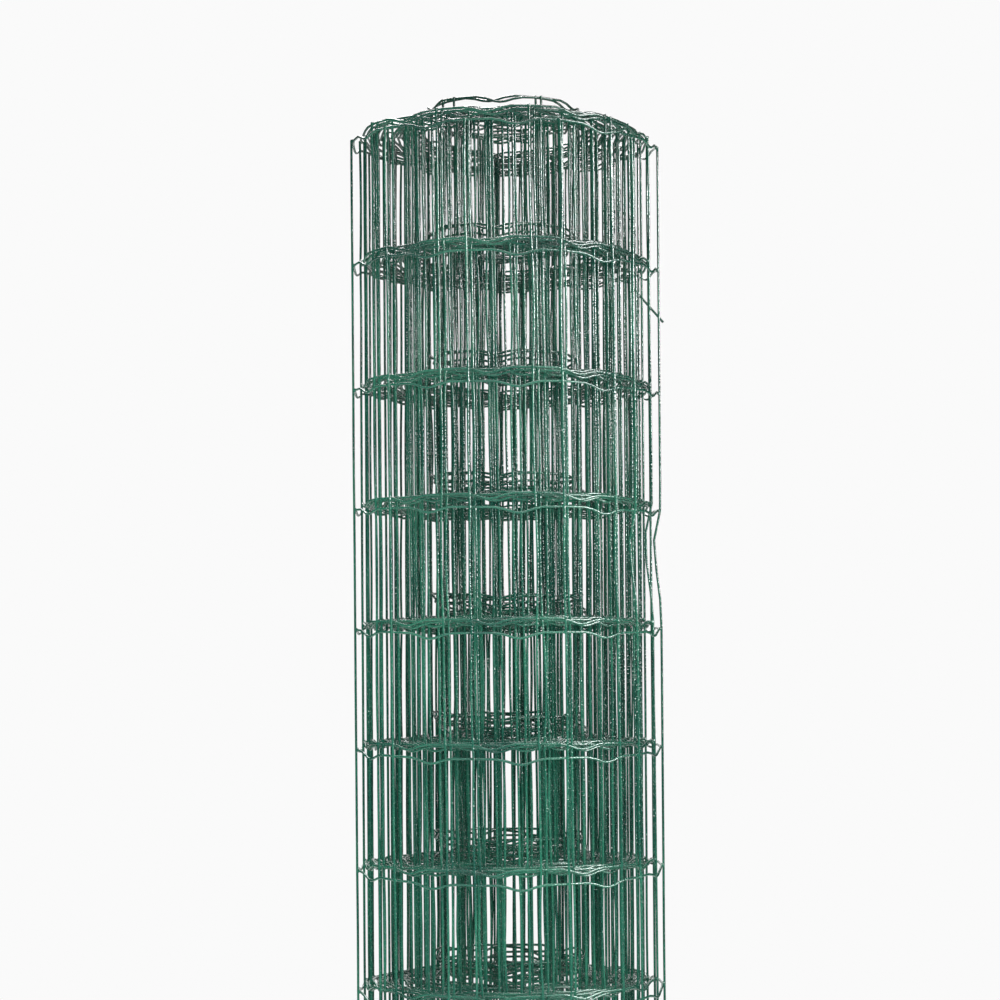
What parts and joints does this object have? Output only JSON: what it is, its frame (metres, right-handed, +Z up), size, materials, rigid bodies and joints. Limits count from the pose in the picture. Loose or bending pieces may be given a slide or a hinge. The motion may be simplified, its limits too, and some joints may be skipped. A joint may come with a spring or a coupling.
{
  "type": "roll of wire fencing",
  "caption": "Roll of green coated welded wire mesh fencing, wound in slipped turns round an open bore and standing on its end.",
  "frame": {"origin": "on the floor, in the middle of the bore", "axes": "+Z up along the axis of the roll, -Y towards the viewer of the picture and +X to the viewer's right"},
  "size_m": [0.2559, 0.256, 1.03],
  "materials": {
    "coated_wire": "green PVC coat on galvanised steel wire, glossy and slightly bumpy"
  },
  "bodies": {
    "root": {"welded_mesh_roll": "coated_wire"}
  },
  "joints": []
}
